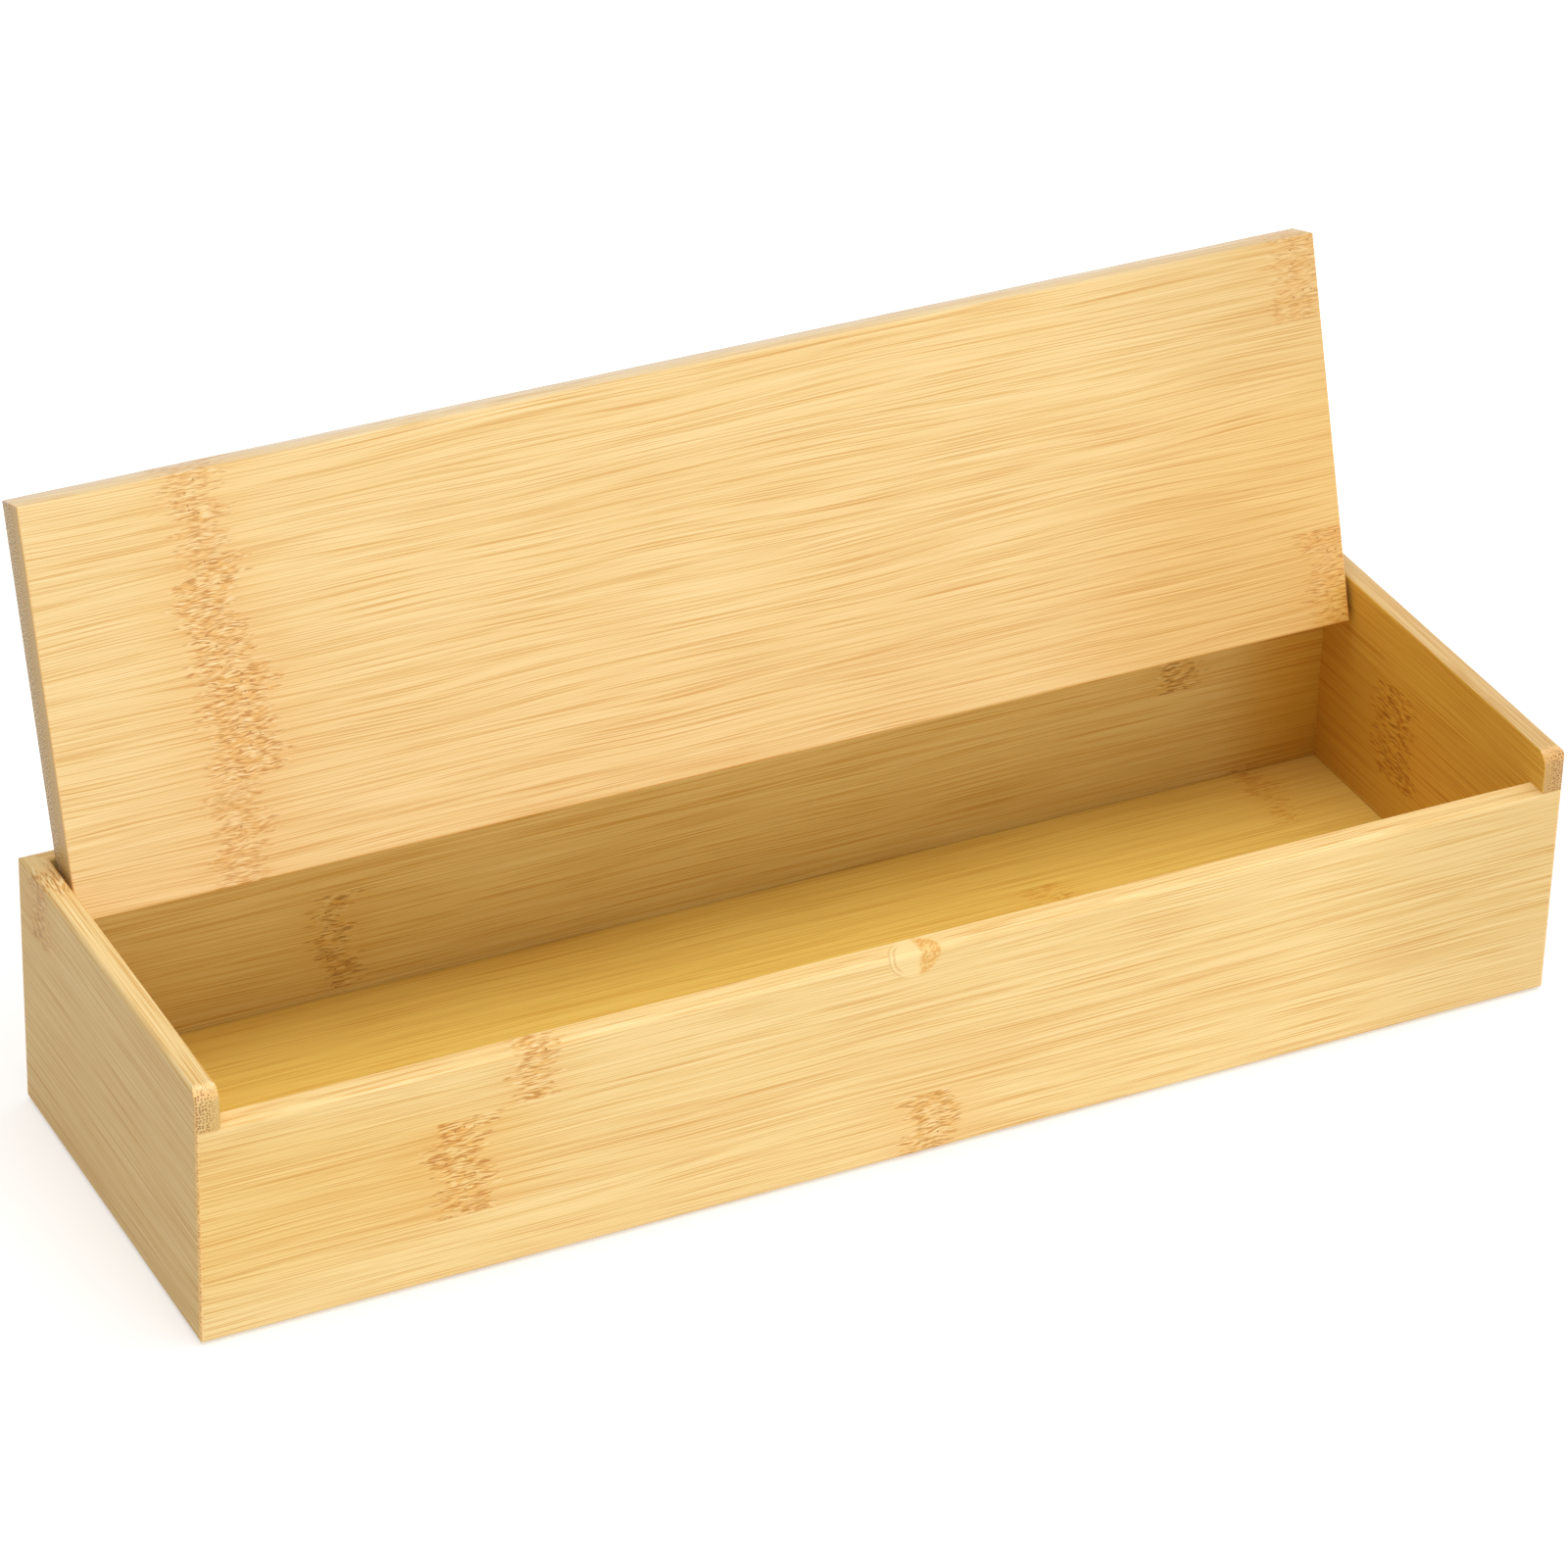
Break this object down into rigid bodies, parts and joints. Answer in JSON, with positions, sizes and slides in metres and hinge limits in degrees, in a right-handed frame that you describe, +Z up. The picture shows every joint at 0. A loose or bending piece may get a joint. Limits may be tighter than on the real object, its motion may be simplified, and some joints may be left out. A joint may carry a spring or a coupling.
{
  "type": "chopstick box with flip lid",
  "caption": "Low bamboo chopstick box: mitred walls, a bottom board in a groove, and a lid that flips up on hidden pins between the end panels.",
  "frame": {"origin": "centre of the box's underside, on the plane it stands on", "axes": "+X along the box to the right as seen from the front, +Y to the back, where the lid is hinged, +Z up. At rest the lid stands open, leaning on the back panel"},
  "size_m": [0.3, 0.1092, 0.1294],
  "materials": {
    "bamboo_end": "sanded bamboo, satin oil, grain front to back",
    "bamboo_front": "sanded bamboo, satin oil, grain along the box",
    "bamboo_back": "sanded bamboo, satin oil, grain along the box",
    "bamboo_bottom": "sanded bamboo, satin oil, grain along the box",
    "bamboo_lid": "sanded bamboo, satin oil, grain along the lid",
    "pin_steel": "ground dowel steel"
  },
  "bodies": {
    "box": {"left_end_panel": "bamboo_end", "right_end_panel": "bamboo_end", "front_panel": "bamboo_front", "back_panel": "bamboo_back", "bottom_panel": "bamboo_bottom", "left_hinge_pin": "pin_steel", "right_hinge_pin": "pin_steel"},
    "lid": {"lid_panel": "bamboo_lid"}
  },
  "joints": [
    {"name": "lid_flip", "type": "hinge", "parent": "box", "child": "lid", "pos_m": [0, 0.03498, 0.05345], "axis": [1, 0, 0], "range_deg": [0, 108]}
  ]
}
